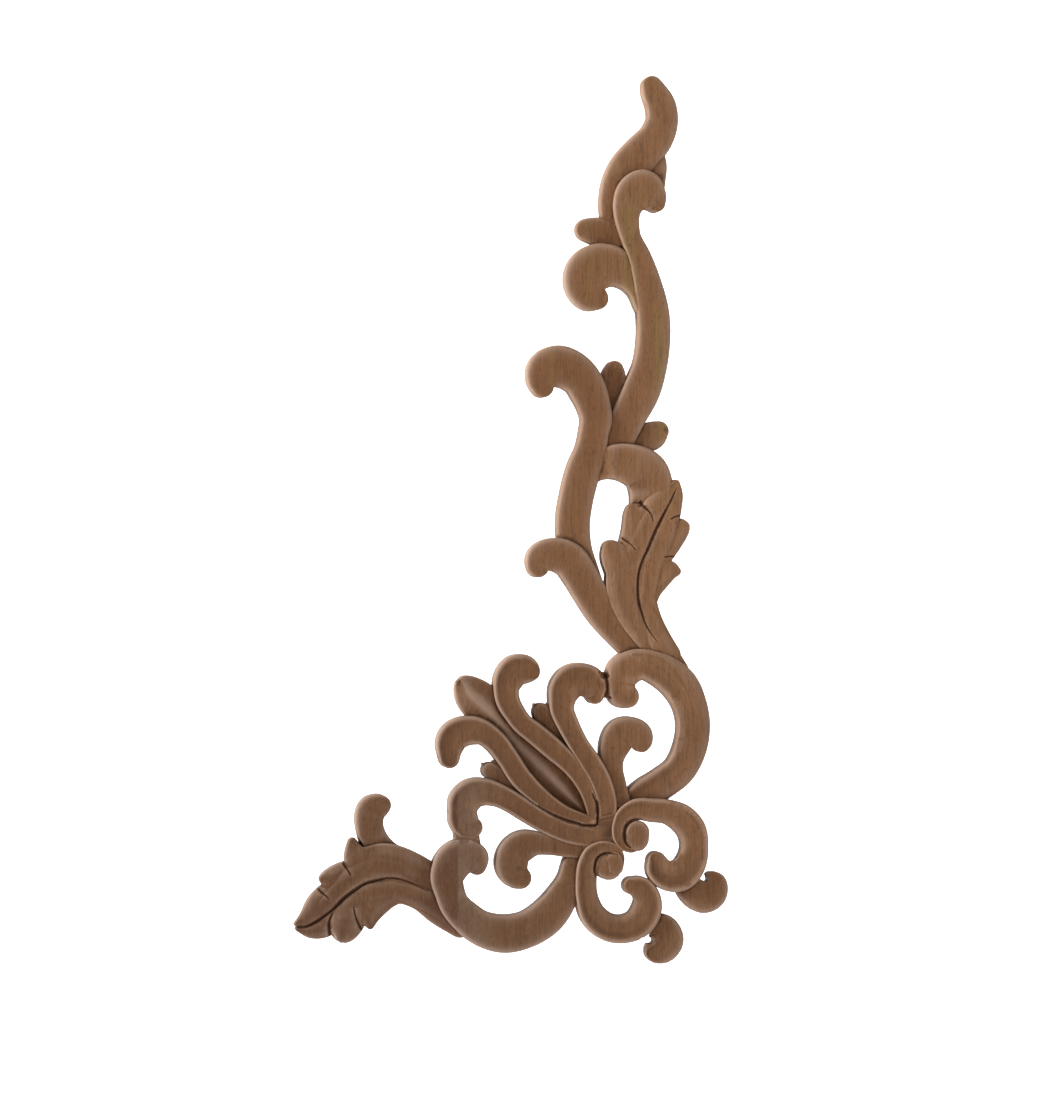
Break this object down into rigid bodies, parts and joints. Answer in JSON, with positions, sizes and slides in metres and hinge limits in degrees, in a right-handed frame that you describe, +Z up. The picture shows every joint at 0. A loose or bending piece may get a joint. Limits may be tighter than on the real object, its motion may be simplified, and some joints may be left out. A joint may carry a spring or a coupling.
{
  "type": "wood corner applique",
  "caption": "Pierced carved scroll-and-leaf corner onlay with a tall arm, a short arm and a flat back to be fixed to a panel.",
  "frame": {"origin": "on the flat back, behind the middle of the heart where the stems meet", "axes": "upright as fixed: +Z up along the tall arm, +X to the right seen from the front, the carved face towards -Y and the flat back facing +Y"},
  "size_m": [0.1469, 0.013, 0.3001],
  "materials": {
    "carved_wood": "bare sanded open-pored hardwood, unfinished"
  },
  "bodies": {
    "root": {"carved_applique": "carved_wood"}
  },
  "joints": []
}
